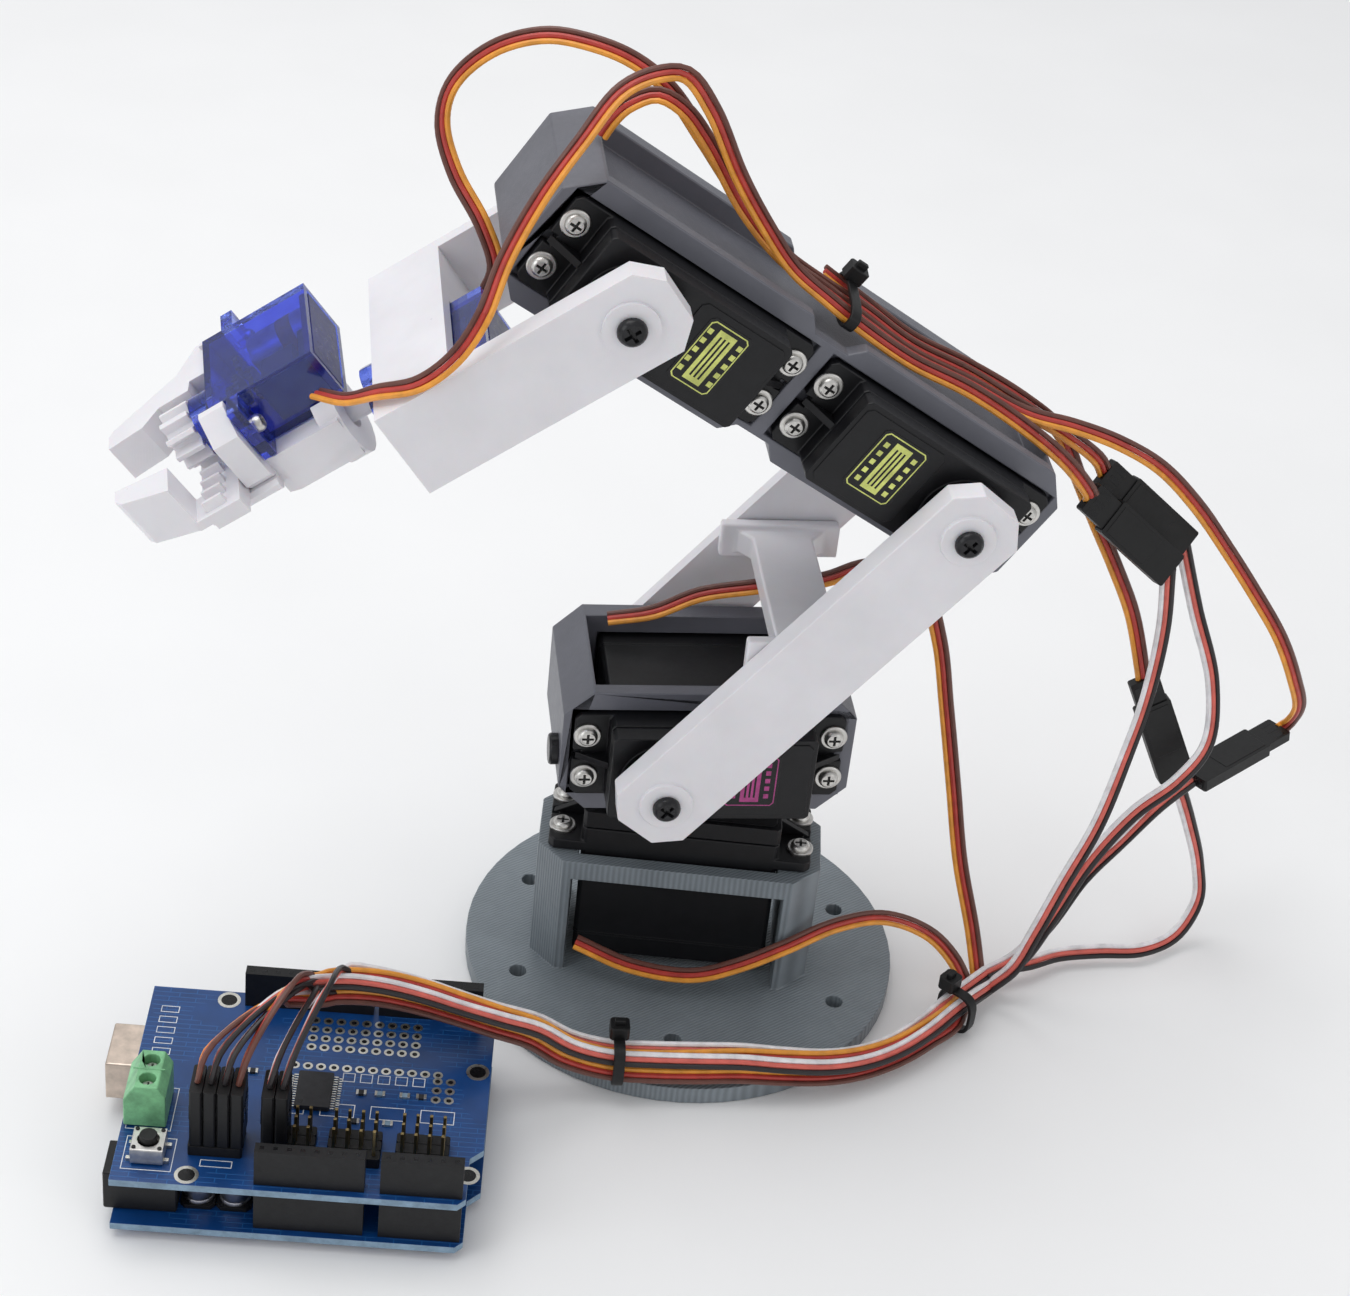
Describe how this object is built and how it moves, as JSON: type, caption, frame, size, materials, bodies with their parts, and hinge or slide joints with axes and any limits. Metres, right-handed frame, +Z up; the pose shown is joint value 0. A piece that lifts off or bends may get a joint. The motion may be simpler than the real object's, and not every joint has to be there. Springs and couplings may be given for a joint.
{
  "type": "desktop robot arm",
  "caption": "Servo-driven desktop robot arm with a rack gripper on a round base, wired to an open controller board stack.",
  "frame": {"origin": "centre of the base disc's underside", "axes": "+Z up; +X along the base servo, from its shaft end to its far end; +Y towards the back"},
  "size_m": [0.2461, 0.1417, 0.2072],
  "materials": {
    "grey_print": "fine layer lines, satin",
    "white_print": "soft gloss",
    "servo_black": "fine-grained satin",
    "black_plastic": "satin",
    "clear_blue": "translucent gloss",
    "bare_metal": "bright",
    "black_steel": "blackened, semi-gloss",
    "circuit_board": "solder mask, semi-gloss",
    "green_plastic": "satin",
    "servo_lead": "soft, brown, red and orange wires",
    "extension_lead": "soft, black, red and white wires"
  },
  "bodies": {
    "base": {"base_housing": "grey_print", "base_servo_case": "servo_black", "base_servo_cover": "servo_black", "main_board": "circuit_board", "shield_board": "circuit_board", "usb_socket": "bare_metal", "power_jack": "black_plastic", "terminal_block": "green_plastic", "reset_switch": "bare_metal", "driver_chip": "black_plastic", "microcontroller": "black_plastic", "capacitor_1": "bare_metal", "capacitor_2": "bare_metal", "servo_plugs_1": "black_plastic", "servo_plugs_2": "black_plastic", "lead_base": "servo_lead", "extension_lead_1": "extension_lead", "extension_lead_2": "extension_lead", "extension_lead_3": "extension_lead", "cable_bundle": "extension_lead", "table_tie": "black_plastic", "disc_tie": "black_plastic"},
    "turret": {"turret_housing": "grey_print", "waist_horn": "bare_metal", "shoulder_servo_case": "servo_black", "shoulder_servo_cover": "servo_black", "lead_shoulder": "servo_lead"},
    "upper_arm": {"upper_arm_plate_front": "white_print", "upper_arm_plate_rear": "white_print", "arm_brace": "white_print", "shoulder_horn": "black_steel", "elbow_horn": "black_steel", "shoulder_rear_screw": "black_steel", "elbow_rear_screw": "black_steel", "connector_1": "black_plastic", "connector_2": "black_plastic", "connector_3": "black_plastic", "connector_4": "black_plastic"},
    "forearm": {"forearm_housing": "grey_print", "elbow_servo_case": "servo_black", "elbow_servo_cover": "servo_black", "wrist_servo_case": "servo_black", "wrist_servo_cover": "servo_black", "lead_elbow": "servo_lead", "lead_wrist": "servo_lead", "forearm_tie": "black_plastic"},
    "wrist": {"wrist_bracket": "white_print", "wrist_horn": "black_steel", "wrist_rear_screw": "black_steel", "roll_servo_case": "clear_blue", "roll_servo_drive": "bare_metal", "lead_roll": "servo_lead"},
    "gripper": {"gripper_frame": "white_print", "roll_horn": "white_print", "gripper_servo_case": "clear_blue", "gripper_servo_drive": "bare_metal", "lead_gripper": "servo_lead"},
    "pinion": {"gripper_pinion": "white_print"},
    "jaw": {"sliding_jaw": "white_print"},
    "reset_button": {"reset_cap": "black_plastic"}
  },
  "joints": [
    {"name": "waist", "type": "hinge", "parent": "base", "child": "turret", "pos_m": [-0.0126, 0.0004, 0], "axis": [0, 0, 1], "range_deg": [-98, 81], "deforming": ["lead_shoulder"]},
    {"name": "shoulder", "type": "hinge", "parent": "turret", "child": "upper_arm", "pos_m": [-0.01161, 0.00055, 0.064], "axis": [-0.1513, 0.9885, 0], "range_deg": [-60, 18], "deforming": ["extension_lead_1", "extension_lead_2", "extension_lead_3", "connector_1", "connector_2", "connector_3", "connector_4"]},
    {"name": "elbow", "type": "hinge", "parent": "upper_arm", "child": "forearm", "pos_m": [0.03853, 0.00822, 0.12664], "axis": [-0.1513, 0.9885, 0], "range_deg": [-12, 95], "deforming": ["lead_elbow", "lead_wrist"]},
    {"name": "wrist_pitch", "type": "hinge", "parent": "forearm", "child": "wrist", "pos_m": [-0.02702, -0.00181, 0.16921], "axis": [-0.1513, 0.9885, 0], "range_deg": [-22, 95], "deforming": ["lead_roll"]},
    {"name": "wrist_roll", "type": "hinge", "parent": "wrist", "child": "gripper", "pos_m": [-0.02619, -0.00724, 0.16921], "axis": [-0.8067, -0.1234, -0.5779], "range_deg": [-84, 95], "deforming": ["lead_gripper"]},
    {"name": "pinion_turn", "type": "hinge", "parent": "gripper", "child": "pinion", "pos_m": [-0.10187, -0.01765, 0.1293], "axis": [0.8067, 0.1234, 0.5779], "range_deg": [-50, 126]},
    {"name": "jaw_slide", "type": "slide", "parent": "gripper", "child": "jaw", "axis": [-0.2072, 0.9749, 0.0811], "range_m": [-0.00435, 0.01099]},
    {"name": "reset_press", "type": "slide", "parent": "base", "child": "reset_button", "axis": [0, 0, -1], "range_m": [0, 0.0005], "stiffness_N_per_m": 400}
  ],
  "couplings": [
    {"joint": "pinion_turn", "follows": "jaw_slide", "rad_per_m": 200}
  ]
}
